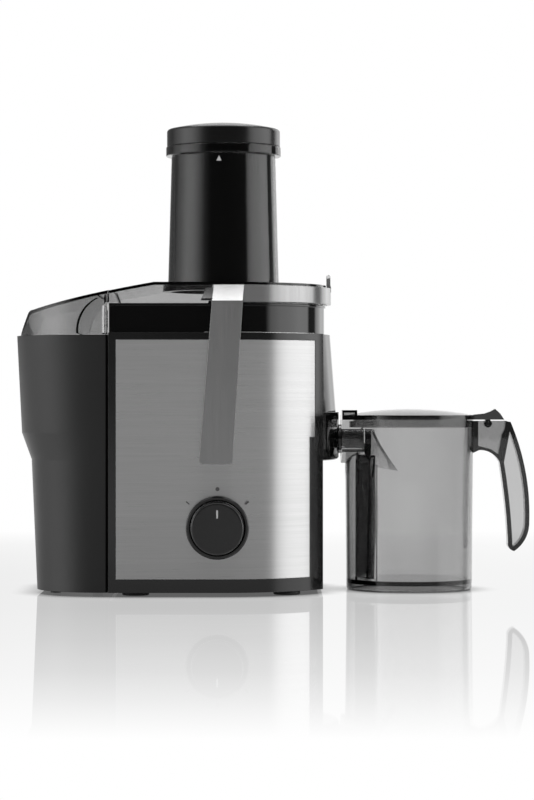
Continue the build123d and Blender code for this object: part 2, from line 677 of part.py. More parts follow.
def juice_spout():
    start = DUCT_RADIUS - DUCT_WALL
    inner = SPOUT_RADIUS - SPOUT_WALL
    tip_x, tip_z = BEAK_TIP
    low, high = SPOUT_Z - SPOUT_RADIUS, SPOUT_Z + SPOUT_RADIUS
    profile = [
        (SPOUT_END - 11, low + 0.5), (tip_x - 20.6, tip_z + 5), (tip_x - 15.3, tip_z + 2.8),
        (tip_x, tip_z),
        (tip_x - 7, tip_z + 9.9), (tip_x - 13.4, tip_z + 19.9), (SPOUT_END, high - 4), (SPOUT_END - 1, high),
    ]
    inside = [
        (SPOUT_END - 8, low + 0.5), (tip_x - 19, tip_z - 3), (tip_x - 5.5, tip_z - 3),
        (tip_x - 9, tip_z + 9.6),
        (tip_x - 15.2, tip_z + 19.4), (SPOUT_END - 1.8, high - 4.4), (SPOUT_END - 2.6, high - SPOUT_WALL),
    ]
    spout = rod_x(SPOUT_RADIUS, 0, SPOUT_Z, start, SPOUT_END - 2)
    spout += side_prism(profile, SPOUT_RADIUS) & beak_section(SPOUT_RADIUS, tip_z, start)
    spout += rod_x(SPOUT_RADIUS + 3.6, 0, SPOUT_Z, DUCT_RADIUS, DUCT_RADIUS + 2)
    spout -= rod_x(inner, 0, SPOUT_Z, start - 1, SPOUT_END - 6)
    return spout - (side_prism(inside, inner) & beak_section(inner, tip_z + 1.5, start))


def beak_section(half, tip_z, x0):
    """Round above, drawn in to a narrow V towards the tip."""
    points = [(-1.2, tip_z), (1.2, tip_z), (half, SPOUT_Z - 4), (half, SPOUT_Z + half)]
    points += [(-half, SPOUT_Z + half), (-half, SPOUT_Z - 4)]
    below = [(-1.2, tip_z - 5), (1.2, tip_z - 5), (1.2, tip_z), (-1.2, tip_z)]
    roof = rod_x(half, 0, SPOUT_Z, x0, JUG_X) + front_prism(
        [(-half, tip_z - 5), (half, tip_z - 5), (half, SPOUT_Z), (-half, SPOUT_Z)], x0, JUG_X
    )
    return (front_prism(points, x0, JUG_X) + front_prism(below, x0, JUG_X)) & roof


# ---------------------------------------------------------------- filter basket
def basket_hub():
    inner = COUPLING_RADIUS
    hub = disc(COUPLING_RADIUS + 5, COUPLING_LOW + 4, GRATER_Z)
    hub += disc(22, GRATER_Z - 2.5, GRATER_Z)
    socket = Pos(0, 0, COUPLING_LOW) * extrude(spline_plan(inner, SLIP), COUPLING_HIGH - COUPLING_LOW + SLIP)
    return hub - socket


def grater_disc():
    plate = disc(GRATER_RADIUS, GRATER_Z, GRATER_Z + 1.2)
    tooth = side_prism([(-1.6, 0.9), (1.6, 0.9), (0, 3.0)], 0.5)
    for turn in range(12):
        for row in range(4):
            radius = 16 + row * 9
            angle = turn * 30 + row * 11
            plate += Rot(0, 0, angle) * Pos(radius, 0, GRATER_Z) * tooth
    return plate


def screen_cone(grow, z0, z1):
    """Solid cone along the inner face of the filter screen, moved out by grow."""
    slope = (SCREEN_TOP_RADIUS - GRATER_RADIUS) / (SCREEN_TOP - GRATER_Z)
    low = GRATER_RADIUS + grow + (z0 - GRATER_Z) * slope
    high = GRATER_RADIUS + grow + (z1 - GRATER_Z) * slope
    return frustum(low, high, z0, z1)


def filter_screen():
    low, high = GRATER_Z - 1, SCREEN_TOP
    outer = screen_cone(SEAT + SCREEN_THICK, low, high)
    inner = screen_cone(SEAT, low - 1, high + 1)
    floor = ring(GRATER_RADIUS, 22 + SEAT, low, low + 0.9)
    return (outer - inner) + (floor & screen_cone(SEAT + SCREEN_THICK / 2, low, low + 0.9))


def basket_rim():
    rim = ring(RIM_RADIUS, SCREEN_TOP_RADIUS - 4, SCREEN_TOP - 3, SCREEN_TOP + 4)
    rim -= screen_cone(2 * SEAT + SCREEN_THICK, SCREEN_TOP - 4, SCREEN_TOP)
    rim -= disc(SCREEN_TOP_RADIUS - 1.5, SCREEN_TOP - 4, SCREEN_TOP + 5)
    top = rim.edges().filter_by(GeomType.CIRCLE).group_by(Axis.Z)[-1]
    return fillet(top, 0.8)


# ---------------------------------------------------------------- lid, chute and pusher
def lid_solid(inset):
    """Round cap over the bowl, running out into a sloping cover over the pulp container."""
    half = LID_RADIUS - inset
    reach = BIN_REACH - LID_OVERHANG
    margin = inset + BIN_WALL
    cap_left = BIN_NEAR + (6 if inset > 0 else 0)
    cap = Circle(half) + Pos(-cap_left / 2, 0) * Rectangle(cap_left, 2 * half)
    cap += bin_plan(reach + BIN_WALL, margin, BIN_NEAR - 1 + inset)
    low, cover_low, ceiling = LID_LOW - inset, LID_COVER_LOW - inset, LID_TOP + 5
    solid = Pos(0, 0, low) * extrude(cap, ceiling - low)
    cover = bin_plan(reach + BIN_WALL, margin, BIN_NEAR + GAP + inset)
    solid += Pos(0, 0, cover_low) * extrude(cover, ceiling - cover_low)
    left = -reach + inset
    top = LID_TOP - inset
    y = -HALF_DEPTH - 1
    foot, corner = (left, y, cover_low - 1), (left + 7.7, y, top - 23)
    brow, crest = (left + 11.9, y, top - 20), (-57.4, y, top - 1.3)
    far = LID_RADIUS + 5
    roof = [
        Line(foot, corner),
        ThreePointArc(corner, (left + 8.9, y, top - 21.2), brow),
        ThreePointArc(brow, (-99, y, top - 9.7), crest),
        Polyline(crest, (-50, y, top), (far, y, top), (far, y, foot[2]), foot),
    ]
    return solid & extrude(make_face(roof), amount=2 * HALF_DEPTH + 2, dir=(0, 1, 0))


def lid_shell():
    shell = lid_solid(0) - lid_solid(LID_WALL)
    # the side towards the bowl is open for the pulp
    half = BOWL_RADIUS - BOWL_WALL
    shell -= block(-BIN_NEAR - 6, -BIN_NEAR + 5, -half, half, LID_COVER_LOW - 1, LID_LOW + 1)
    return shell - disc(CHUTE_RADIUS + SEAT, LID_LOW, LID_TOP + 5)


def pulp_deflector():
    """Curved wall under the cover that turns the pulp down into its container."""
    y = -BIN_FRONT + 16
    thick = 1.8
    near = BIN_NEAR
    top = LID_TOP - LID_WALL - 9.2
    outer_top, outer_low = (-near - 9, y, top), (-near - 24, y, LID_COVER_LOW + 1)
    bend = (-near - 20, y, top - 10)
    shift = Vector(thick, 0, 0)
    outline = [
        ThreePointArc(outer_top, bend, outer_low),
        Line(outer_low, Vector(outer_low) + shift),
        ThreePointArc(Vector(outer_low) + shift, Vector(bend) + shift, Vector(outer_top) + shift),
        Line(Vector(outer_top) + shift, outer_top),
    ]
    return extrude(make_face(outline), amount=-2 * y, dir=(0, 1, 0)) & lid_solid(LID_WALL + SEAT)


def feed_chute():
    """Slightly tapering tube, straight where its collar sits, with a flange under the lid."""
    under = LID_TOP - LID_WALL
    low = under - 2.5
    band = CHUTE_TOP - COLLAR_HEIGHT
    chute = disc(CHUTE_RADIUS, low, LID_TOP) + frustum(CHUTE_RADIUS, CHUTE_TOP_RADIUS, LID_TOP, band)
    chute += disc(CHUTE_TOP_RADIUS, band, CHUTE_TOP)
    bore = frustum(CHUTE_RADIUS - CHUTE_WALL, CHUTE_BORE, low - 1, band)
    bore += disc(CHUTE_BORE, band, CHUTE_TOP + 1)
    return chute - bore + ring(CHUTE_RADIUS + 4, CHUTE_RADIUS - 1, low, under - SEAT)


def chute_collar():
    collar = ring(COLLAR_RADIUS, CHUTE_TOP_RADIUS + SEAT / 2, CHUTE_TOP - COLLAR_HEIGHT, CHUTE_TOP)
    rims = collar.edges().filter_by(GeomType.CIRCLE).sort_by(SortBy.RADIUS)[-2:]
    return fillet(rims, 0.6)


def pusher_body():
    radius = CHUTE_BORE - GAP
    top = CHUTE_TOP + GAP
    body = disc(radius, PUSHER_LOW, top)
    low_rim = body.edges().filter_by(GeomType.CIRCLE).sort_by(Axis.Z)[0]
    body = fillet(low_rim, 1.5)
    return body - disc(radius - PUSHER_WALL, PUSHER_LOW + PUSHER_WALL, top + 1)


def pusher_cap():
    """Shallow domed cap with a moulded nub in the middle."""
    low = CHUTE_TOP + GAP
    side = low + CAP_SIDE
    crown = side + CAP_CROWN
    wall = 2.6
    outline = [
        Line((0, 0, low), (CAP_RADIUS, 0, low)),
        Line((CAP_RADIUS, 0, low), (CAP_RADIUS, 0, side - 1.5)),
        ThreePointArc(
            (CAP_RADIUS, 0, side - 1.5), (CAP_RADIUS - 0.6, 0, side), (CAP_RADIUS - 2, 0, side + 0.7)
        ),
        dome_arc(CAP_RADIUS - 2, side + 0.7, crown),
        Line((0, 0, crown), (0, 0, low)),
    ]
    cap = revolve(make_face(outline), Axis.Z)
    cap -= disc(CHUTE_BORE - GAP - PUSHER_WALL, low - 1, side - wall)
    return cap + disc(3, crown - 1, crown + 0.5)


# ---------------------------------------------------------------- pulp container
def bin_plan(reach, inset, near=BIN_NEAR):
    """Plan at one height: square beside the housing, with two large corners away from it."""
    left, half = -reach + inset, BIN_FRONT - inset
    near_corner = 1.5
    corner = min(BIN_CORNER, reach - BIN_NEAR - 5) - inset
    right = -near
    outline = [
        Line((right - near_corner, half), (left + corner, half)),
        ThreePointArc(
            (left + corner, half),
            (left + corner - corner * cos(pi / 4), half - corner + corner * sin(pi / 4)),
            (left, half - corner),
        ),
        Line((left, half - corner), (left, -half + corner)),
        ThreePointArc(
            (left, -half + corner),
            (left + corner - corner * cos(pi / 4), -half + corner - corner * sin(pi / 4)),
            (left + corner, -half),
        ),
        Line((left + corner, -half), (right - near_corner, -half)),
        Line((right - near_corner, -half), (right, -half + near_corner)),
        Line((right, -half + near_corner), (right, half - near_corner)),
        Line((right, half - near_corner), (right - near_corner, half)),
    ]
    return make_face(outline)


def bin_solid(inset, low, high):
    """Stack of three tapering bands; the middle one is the finger step."""
    heights = [
        (low, BIN_BASE_REACH), BIN_GRIP_LOW, BIN_GRIP_HIGH, (high, BIN_REACH),
    ]
    plans = [Pos(0, 0, z) * bin_plan(reach, inset, BIN_NEAR + inset) for z, reach in heights]
    bands = [loft([below, above], ruled=True) for below, above in zip(plans, plans[1:])]
    return bands[0] + bands[1] + bands[2]


def pulp_container():
    container = bin_solid(0, BIN_LOW, BIN_TOP) - bin_solid(BIN_WALL, BIN_LOW + BIN_WALL, BIN_TOP + 0.01)
    for x in (-BIN_BASE_REACH + 14, -BIN_NEAR - 10):
        for y in (-38, 38):
            container += disc(4, 0, BIN_LOW + 1, x, y)
    return container


# ---------------------------------------------------------------- locking arm
def strap_profile():
    """Side view of a strap: upright, then leaning in to meet the band; front strap, (Y, Z)."""
    band = ARM_INNER + ARM_THICK
    run, rise = STRAP_FACE - band, ARM_HIGH - STRAP_BEND
    slant = hypot(run, rise)
    inner_bend = STRAP_BEND - ARM_THICK * (slant - rise) / run
    inner_top = inner_bend + (STRAP_FACE - ARM_THICK - ARM_INNER) * rise / run
    return [
        (-STRAP_FACE, STRAP_BOTTOM), (-STRAP_FACE + ARM_THICK, STRAP_BOTTOM),
        (-STRAP_FACE + ARM_THICK, inner_bend), (-ARM_INNER, inner_top), (-ARM_INNER, ARM_HIGH),
        (-band, ARM_HIGH), (-STRAP_FACE, STRAP_BEND),
    ]


def strap_outline():
    """Front view of a strap, (X, Z), with its lean carried on up to the top of the band."""
    lean = (STRAP_TOP_MID - STRAP_LOW_MID) / (STRAP_BEND - STRAP_BOTTOM)
    top_mid = STRAP_TOP_MID + lean * (ARM_HIGH - STRAP_BEND)
    low, high = STRAP_LOW_WIDTH / 2, STRAP_TOP_WIDTH / 2
    return [
        (STRAP_LOW_MID - low, STRAP_BOTTOM), (STRAP_LOW_MID + low, STRAP_BOTTOM),
        (top_mid + high, ARM_HIGH), (top_mid - high, ARM_HIGH),
    ]


def strap():
    front = front_prism(strap_profile(), -40, 40)
    outline = side_prism(strap_outline(), STRAP_FACE + 5)
    low_edges = outline.edges().filter_by(Axis.Y).group_by(Axis.Z)[0]
    return front & fillet(low_edges, 2.6)


def thumb_fin():
    """Thumb plate at the band's right end, with a rounded tip."""
    inner, outer = ARM_INNER, ARM_INNER + ARM_THICK
    top = ARM_HIGH + FIN_HEIGHT
    tip = ARM_THICK / 2
    middle = (inner + outer) / 2 - FIN_STEP
    outline = [
        Polyline(
            (inner - FIN_STEP, 0, top - tip), (inner - FIN_STEP, 0, LID_TOP), (inner, 0, ARM_HIGH),
            (inner, 0, ARM_HIGH - 3), (outer, 0, ARM_HIGH - 3), (outer, 0, ARM_HIGH + 0.5),
            (outer - FIN_STEP, 0, LID_TOP + 0.5), (outer - FIN_STEP, 0, top - tip),
        ),
        ThreePointArc((outer - FIN_STEP, 0, top - tip), (middle, 0, top), (inner - FIN_STEP, 0, top - tip)),
    ]
    half = FIN_WIDTH / 2
    plate = extrude(make_face(outline), amount=half, dir=(0, 1, 0), both=True)
    right = [(half, ARM_LOW), (half, top - 3), (half - 3, top)]
    rounded = front_prism([(-y, z) for y, z in reversed(right)] + right, 0, outer)
    return plate & rounded


def lock_arm():
    start = STRAP_TOP_MID - STRAP_TOP_WIDTH / 2
    band_limits = block(start, ARM_INNER + 9, -STRAP_FACE, STRAP_FACE, ARM_LOW - 1, ARM_HIGH + 1)
    arm = ring(ARM_INNER + ARM_THICK, ARM_INNER, ARM_LOW, ARM_HIGH) & band_limits
    arm += thumb_fin()
    for side in both_sides(strap()):
        arm += side
    return arm


def latch_pad():
    """Plastic pad under the leaning part of a strap, which steadies the arm beside the lid."""
    left = STRAP_TOP_MID - STRAP_TOP_WIDTH / 2 - 8.5
    right = STRAP_TOP_MID + STRAP_TOP_WIDTH / 2 - 6
    low = ARM_LOW + 0.8
    high = ARM_HIGH - 2
    front_view = side_prism([(left, low), (right, low), (right, high), (left + 4, high)], STRAP_FACE)
    bend, top = strap_profile()[2:4]
    side_view = front_prism([(-ARM_INNER, bend[1]), top, bend], left, right)
    outer_limit = block(left, right, -STRAP_FACE + 8, 0, low, ARM_HIGH)
    return front_view & side_view & outer_limit


def latch_pads():
    arm = lock_arm()
    return group([pad - arm for pad in both_sides(latch_pad())])


def arm_pins():
    x, z = ARM_PIVOT
    inside = HALF_DEPTH - HOUSING_WALL - 2.5
    return mirrored(rod_y(PIN_RADIUS, x, z, -STRAP_FACE + ARM_THICK, -inside))


def bush_solid(grow=0.0):
    x, z = ARM_PIVOT
    return rod_y(BUSH_RADIUS + grow, x, z, -STRAP_FACE + ARM_THICK + GAP, -HALF_DEPTH + HOUSING_WALL + 3)


def arm_bushes():
    x, z = ARM_PIVOT
    inside = -HALF_DEPTH + HOUSING_WALL + SEAT
    flange = rod_y(BUSH_RADIUS + 3, x, z, inside, inside + 2.9)
    bush = bush_solid() + (flange & housing_solid(HOUSING_WALL + SEAT, z - 20, z + 20))
    return mirrored(bush - rod_y(PIN_RADIUS + RUNNING, x, z, -STRAP_FACE, inside + 9))


# ---------------------------------------------------------------- jug
def port_prism(grow, z_top, x0, x1):
    """Opening for the spout: wide above, drawn in to a notch for the tip of the beak."""
    low = BEAK_TIP[1] - 2.2 - grow
    notch_half, tip_half, half = 4.8 + grow, 1.9 + grow, PORT_HALF + grow
    shoulder = SPOUT_Z - SPOUT_RADIUS - grow
    right = [(tip_half, low), (notch_half, PORT_LOW - grow), (half, shoulder), (half, z_top)]
    return front_prism([(-y, z) for y, z in reversed(right)] + right, x0, x1)


def jug_neck():
    """Lips around the opening, which reach out towards the duct."""
    neck = port_prism(NECK_WALL, JUG_HEIGHT, NECK_END, JUG_X - JUG_RADIUS / 2)
    neck -= port_prism(0, JUG_HEIGHT + 1, NECK_END - 1, JUG_X)
    neck &= block(NECK_END, JUG_X, -JUG_RADIUS, JUG_RADIUS, PORT_LOW - NECK_WALL, JUG_HEIGHT)
    return neck - jug_cone(JUG_WALL / 2, 50, JUG_HEIGHT + 1)


def jug_cone(inset, z0, z1):
    slope = (JUG_RADIUS - JUG_BASE_RADIUS) / JUG_HEIGHT
    low = JUG_BASE_RADIUS + slope * z0 - inset
    high = JUG_BASE_RADIUS + slope * z1 - inset
    return frustum(low, high, z0, z1, JUG_X)


def jug_body():
    outer = jug_cone(0, 0, JUG_HEIGHT)
    base_rim = outer.edges().filter_by(GeomType.CIRCLE).sort_by(Axis.Z)[0]
    jug = fillet(base_rim, 2.0)
    jug -= jug_cone(JUG_WALL, JUG_FLOOR, JUG_HEIGHT + 1)
    jug -= jug_cone(4, -1, JUG_FLOOR - JUG_FLOOR_THICK)
    jug -= port_prism(0, JUG_HEIGHT + 1, JUG_X - JUG_RADIUS - 2, JUG_X - JUG_RADIUS / 2)
    jug += jug_neck()
    # guide ribs for the foam separator
    low, high = JUG_FLOOR - 1, SEPARATOR_TOP - 7
    wall_zone = jug_cone(JUG_WALL / 2, low, high) - jug_cone(JUG_WALL + 2.2, low - 1, high + 1)
    ribs = block(SEPARATOR_RIB, SEPARATOR_RIB + RIB_WIDTH, -JUG_RADIUS, JUG_RADIUS, low, high)
    return jug + (ribs & wall_zone)


def foam_separator():
    """Curved plate across the jug behind its ribs, with a notch that the beak passes through."""
    radius = SEPARATOR_RADIUS
    x = SEPARATOR_X + radius
    low = JUG_FLOOR + 1.5
    plate = ring(radius, radius - SEPARATOR_THICK, low, SEPARATOR_TOP, x)
    plate &= block(JUG_X - JUG_RADIUS, SEPARATOR_RIB - SLIP, -JUG_RADIUS, JUG_RADIUS, 0, SEPARATOR_TOP)
    plate &= jug_cone(JUG_WALL + SLIP, low, SEPARATOR_TOP)
    notch = front_prism(
        [(-12, 115), (-9.5, 100), (-3.5, 86), (3.5, 86), (9.5, 100), (12, 115)], JUG_X - JUG_RADIUS, JUG_X
    )
    foot = ring(radius, radius - SEPARATOR_THICK, JUG_FLOOR, low, x)
    return plate - notch + (foot & block(JUG_X - JUG_RADIUS, JUG_X, -5, 5, JUG_FLOOR, low))


def grip_face(y):
    """Closed leaf-shaped outline of the grip, in the plane at y."""
    reach = HANDLE_REACH
    top_left, top_right = (reach - 16.7, y, 128.2), (reach - 14.2, y, 127.8)
    heel, toe, instep = (reach, y, 50), (reach - 11.4, y, 29.3), (reach - 16.2, y, 36)
    neck = (reach - 22.6, y, 97)
    outline = [
        Line(top_left, top_right),
        ThreePointArc(top_right, (reach - 3.6, y, 94), heel),
        ThreePointArc(heel, (reach - 4.2, y, 36.6), toe),
        ThreePointArc(toe, (reach - 14.9, y, 31.2), instep),
        ThreePointArc(instep, (reach - 18.2, y, 64), neck),
        Line(neck, top_left),
    ]
    return make_face(outline)


def handle_root(y):
    """Outline of the broad part between the jug and the grip."""
    reach = HANDLE_REACH
    top = JUG_HEIGHT - 0.6
    left = JUG_X + JUG_RADIUS - 3
    outline = [
        Polyline(
            (reach - 22.6, y, 97), (reach - 16.7, y, 128.2), (reach - 17.5, y, top), (left, y, top),
            (left, y, 103),
        ),
        Line((left, y, 103), (left + 7, y, 106.3)),
        ThreePointArc((left + 7, y, 106.3), (reach - 28, y, 103.4), (reach - 22.6, y, 97)),
    ]
    return make_face(outline)


def across(face, half):
    return extrude(face, amount=2 * half, dir=(0, 1, 0))


def jug_handle():
    y = -HANDLE_HALF
    grip = grip_face(y)
    rim = across(grip, HANDLE_HALF) - across(offset(grip, -HANDLE_RIM), HANDLE_HALF)
    handle = rim + across(Pos(0, HANDLE_HALF - 1, 0) * grip, 1)
    handle += across(handle_root(y), HANDLE_HALF)
    # the root is a channel between two cheeks, so that the lid's tab can swing down into it
    hinge_x, hinge_z = HINGE
    inner_half = HANDLE_HALF - CHEEK
    channel = [
        (JUG_X + JUG_RADIUS + 3.4, JUG_HEIGHT + 5), (JUG_X + JUG_RADIUS + 3.4, 109.5),
        (HANDLE_REACH - 29, 107), (HANDLE_REACH - 23.5, 103), (HANDLE_REACH - 17.8, JUG_HEIGHT + 5),
    ]
    handle -= side_prism(channel, inner_half)
    nose_reach = hypot(TAB_NOSE, JUG_HEIGHT + SLIP - hinge_z) + GAP
    nose_path = rod_y(nose_reach, hinge_x, hinge_z, -inner_half, inner_half)
    handle -= nose_path & block(hinge_x, HANDLE_REACH, -inner_half, inner_half, JUG_FLOOR, hinge_z + TAB_NOSE)
    handle += mirrored(rod_y(HINGE_EYE, hinge_x, hinge_z, -HANDLE_HALF - 0.8, -inner_half))
    handle -= rod_y(HINGE_RADIUS + SEAT / 2, hinge_x, hinge_z, -HANDLE_HALF - 2, HANDLE_HALF + 2)
    return handle - jug_cone(-0.02, 50, JUG_HEIGHT + 1)


def lid_hinge_pin():
    x, z = HINGE
    return rod_y(HINGE_RADIUS, x, z, -HANDLE_HALF - 0.6, HANDLE_HALF + 0.6)


def jug_lid():
    low = JUG_HEIGHT + SLIP
    rim, skirt = JUG_RADIUS + 0.9, JUG_RADIUS - JUG_WALL - 0.9
    wall = 1.9
    skirt_low = SPOUT_Z + SPOUT_RADIUS + 1.3
    edge = low + 3.5
    crown = edge + 4.6
    brim, inner = rim - 4, skirt - wall
    outline = [
        dome_arc(brim, edge + 0.6, crown),
        Line((0, 0, crown), (0, 0, crown - wall)),
        dome_arc(inner, edge + 0.9 - wall, crown - wall),
        Polyline(
            (inner, 0, edge + 0.9 - wall), (inner, 0, skirt_low), (skirt, 0, skirt_low), (skirt, 0, low),
            (rim, 0, low), (rim, 0, edge), (brim, 0, edge + 0.6),
        ),
    ]
    lid = Pos(JUG_X, 0, 0) * revolve(make_face(outline), Axis.Z)
    # the rim runs out over the jug's lips, with a raised hood over the spout
    half = PORT_HALF + NECK_WALL
    inside = disc(brim, low - 5, crown + 5, JUG_X)
    hood_end = JUG_X - JUG_RADIUS + 9
    lid += block(NECK_END, JUG_X, -half, half, low, edge) - inside
    lid += block(NECK_END + 0.4, hood_end, -HOOD_HALF, HOOD_HALF, edge, edge + HOOD_RISE)
    hood_inner = HOOD_HALF - wall
    lid -= block(NECK_END + wall, hood_end - wall, -hood_inner, hood_inner, low - 1, edge + HOOD_RISE - wall)
    x, z = HINGE
    tab_low = JUG_HEIGHT + SLIP
    tab = side_prism(
        [(x - 14, tab_low), (x - 14, edge), (x - 2.6, edge + 1.2), (x + 2, edge + 2.8), (x + 5.6, edge + 4.8),
         (x + TAB_NOSE - 3.1, edge + 1.2), (x + TAB_NOSE, tab_low)],
        LID_TAB_HALF,
    )
    neck = block(x - 2, x + 2, -LID_TAB_HALF, LID_TAB_HALF, z, tab_low + 1)
    eye = rod_y(HINGE_EYE, x, z, -LID_TAB_HALF, LID_TAB_HALF)
    lid += tab + neck + eye
    return lid - rod_y(HINGE_RADIUS + RUNNING, x, z, -LID_TAB_HALF - 1, LID_TAB_HALF + 1)


# ---------------------------------------------------------------- writing the pieces
NODES = [
    housing_shell, front_steel_panel, rear_steel_panel, base_plate, rubber_feet, base_screws, motor_deck,
    stator_core, field_coils, lower_bracket, upper_bracket, motor_bolts, motor_bushes, brush_holders,
    carbon_brushes, lower_bearing, upper_bearing, shaft_seal, speed_switch, knob_bezel, control_board,
    interlock_switch, cable_grommet, arm_bushes, juice_bowl, bowl_seal, spout_housing, juice_spout,
    motor_shaft, armature_core, armature_windings, commutator, cooling_fan, drive_coupling,
    basket_hub, grater_disc, filter_screen, basket_rim,
    lid_shell, pulp_deflector, feed_chute, chute_collar, pusher_body, pusher_cap,
    lock_arm, latch_pads, arm_pins, pulp_container,
    jug_body, jug_handle, foam_separator, lid_hinge_pin, jug_lid,
    knob_cap, knob_pointer, knob_shaft,
]


def save():
    os.makedirs("parts", exist_ok=True)
    for build in NODES:
        piece = Pos(-ORIGIN_X, 0, 0) * build()
        export_step(piece, f"parts/{build.__name__}.step")


if __name__ == "__main__":
    save()
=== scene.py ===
import math
import bmesh
import bpy
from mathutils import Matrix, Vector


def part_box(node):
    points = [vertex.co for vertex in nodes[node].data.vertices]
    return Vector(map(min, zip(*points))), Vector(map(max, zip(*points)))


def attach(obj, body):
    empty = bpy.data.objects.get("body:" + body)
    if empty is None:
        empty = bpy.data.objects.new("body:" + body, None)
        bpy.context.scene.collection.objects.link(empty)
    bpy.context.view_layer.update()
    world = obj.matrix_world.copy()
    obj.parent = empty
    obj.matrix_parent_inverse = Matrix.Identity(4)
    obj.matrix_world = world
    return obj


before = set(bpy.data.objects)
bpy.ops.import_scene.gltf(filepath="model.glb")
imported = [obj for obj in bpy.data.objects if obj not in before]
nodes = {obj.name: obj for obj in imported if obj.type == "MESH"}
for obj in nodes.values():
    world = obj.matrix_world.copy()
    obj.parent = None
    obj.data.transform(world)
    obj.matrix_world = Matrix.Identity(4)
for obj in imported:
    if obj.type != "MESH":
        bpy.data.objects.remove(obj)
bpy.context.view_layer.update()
scene = bpy.context.scene
scene.view_settings.view_transform = "Standard"
scene.view_settings.look = "None"
scene.cycles.max_bounces = 16
scene.cycles.transmission_bounces = 16
scene.cycles.glossy_bounces = 8
scene.cycles.transparent_max_bounces = 16
scene.cycles.caustics_reflective = False
scene.cycles.blur_glossy = 0.3
scene.cycles.sample_clamp_indirect = 6.0


# ---------------------------------------------------------------- node helpers
class Nodes:
    """Builds one node tree with short calls."""

    def __init__(self, tree):
        self.tree = tree
        tree.nodes.clear()

    def add(self, kind, **inputs):
        node = self.tree.nodes.new(kind)
        for key, value in inputs.items():
            if hasattr(node, key):
                setattr(node, key, value)
            else:
                self.put(node, key.replace("_", " "), value)
        return node

    def put(self, node, name, value):
        socket = node.inputs[name]
        if isinstance(value, bpy.types.NodeSocket):
            self.tree.links.new(value, socket)
        else:
            socket.default_value = value

    def link(self, a, b):
        self.tree.links.new(a, b)

    def math(self, operation, a, b=0.0, c=0.0, clamp=False):
        node = self.tree.nodes.new("ShaderNodeMath")
        node.operation = operation
        node.use_clamp = clamp
        for socket, value in zip(node.inputs, (a, b, c)):
            if isinstance(value, bpy.types.NodeSocket):
                self.tree.links.new(value, socket)
            else:
                socket.default_value = value
        return node.outputs[0]

    def ramp(self, factor, stops, mode="LINEAR"):
        node = self.tree.nodes.new("ShaderNodeValToRGB")
        ramp = node.color_ramp
        ramp.interpolation = mode
        while len(ramp.elements) < len(stops):
            ramp.elements.new(0.5)
        for element, (place, level) in zip(ramp.elements, stops):
            element.position = place
            element.color = (level, level, level, 1)
        self.tree.links.new(factor, node.inputs[0])
        return node.outputs[0]

    def place(self, scale=(1, 1, 1)):
        """Object coordinates in metres, stretched by scale."""
        coords = self.tree.nodes.new("ShaderNodeTexCoord")
        mapping = self.tree.nodes.new("ShaderNodeMapping")
        mapping.inputs["Scale"].default_value = scale
        self.tree.links.new(coords.outputs["Object"], mapping.inputs["Vector"])
        return mapping.outputs["Vector"]

    def noise(self, scale=(1, 1, 1), size=1.0, detail=3.0, rough=0.5):
        node = self.tree.nodes.new("ShaderNodeTexNoise")
        node.inputs["Scale"].default_value = size
        node.inputs["Detail"].default_value = detail
        node.inputs["Roughness"].default_value = rough
        self.tree.links.new(self.place(scale), node.inputs["Vector"])
        return node.outputs["Fac"]

    def spread(self, factor, low, high, start=0.3, end=0.7):
        """Maps a noise value to low..high."""
        node = self.tree.nodes.new("ShaderNodeMapRange")
        self.tree.links.new(factor, node.inputs["Value"])
        node.inputs["From Min"].default_value = start
        node.inputs["From Max"].default_value = end
        node.inputs["To Min"].default_value = low
        node.inputs["To Max"].default_value = high
        return node.outputs["Result"]

    def grey(self, value):
        node = self.tree.nodes.new("ShaderNodeCombineColor")
        for socket in node.inputs[:3]:
            self.tree.links.new(value, socket)
        return node.outputs["Color"]

    def soft_edge(self, radius):
        """Normal that rolls over the sharp edges of a moulding or a cut sheet."""
        node = self.tree.nodes.new("ShaderNodeBevel")
        node.samples = 4
        node.inputs["Radius"].default_value = radius
        return node.outputs["Normal"]

    def bump(self, height, strength, distance, normal=None):
        node = self.tree.nodes.new("ShaderNodeBump")
        node.inputs["Strength"].default_value = strength
        node.inputs["Distance"].default_value = distance
        self.tree.links.new(height, node.inputs["Height"])
        if normal is not None:
            self.tree.links.new(normal, node.inputs["Normal"])
        return node.outputs["Normal"]


def new_material(name):
    material = bpy.data.materials.new(name)
    material.use_nodes = True
    n = Nodes(material.node_tree)
    out = n.add("ShaderNodeOutputMaterial")
    shader = n.add("ShaderNodeBsdfPrincipled")
    n.link(shader.outputs[0], out.inputs["Surface"])
    return material, n, shader, out


def dress(material, *names):
    for name in names:
        mesh = nodes[name].data
        if not mesh.materials:
            mesh.materials.append(material)
        for slot in nodes[name].material_slots:
            slot.material = material


# ---------------------------------------------------------------- materials
def moulded(name, base, rough, grain, depth, peel=0.0, coat=0.0, smudge=0.15, edge=0.0005):
    """Injection moulded plastic: fine spark-eroded grain, a soft wave in the surface, and smudges."""
    material, n, shader, _ = new_material(name)
    broad = n.noise(size=14, detail=3)
    fine = n.noise(size=grain, detail=2, rough=0.6)
    tint = n.math("MULTIPLY", n.spread(broad, 0.9, 1.1), n.spread(fine, 0.92, 1.08))
    n.put(shader, "Base Color", n.grey(n.math("MULTIPLY", tint, base)))
    n.put(shader, "Roughness", n.math("MULTIPLY", n.spread(broad, 1 - smudge, 1 + smudge), rough, clamp=True))
    normal = n.bump(fine, 0.35, depth, n.soft_edge(edge))
    if peel:
        normal = n.bump(n.noise(size=90, detail=1), 0.25, peel, normal)
    n.put(shader, "Normal", normal)
    n.put(shader, "Coat Weight", coat)
    n.put(shader, "Coat Roughness", 0.04)
    n.put(shader, "IOR", 1.5)
    return material


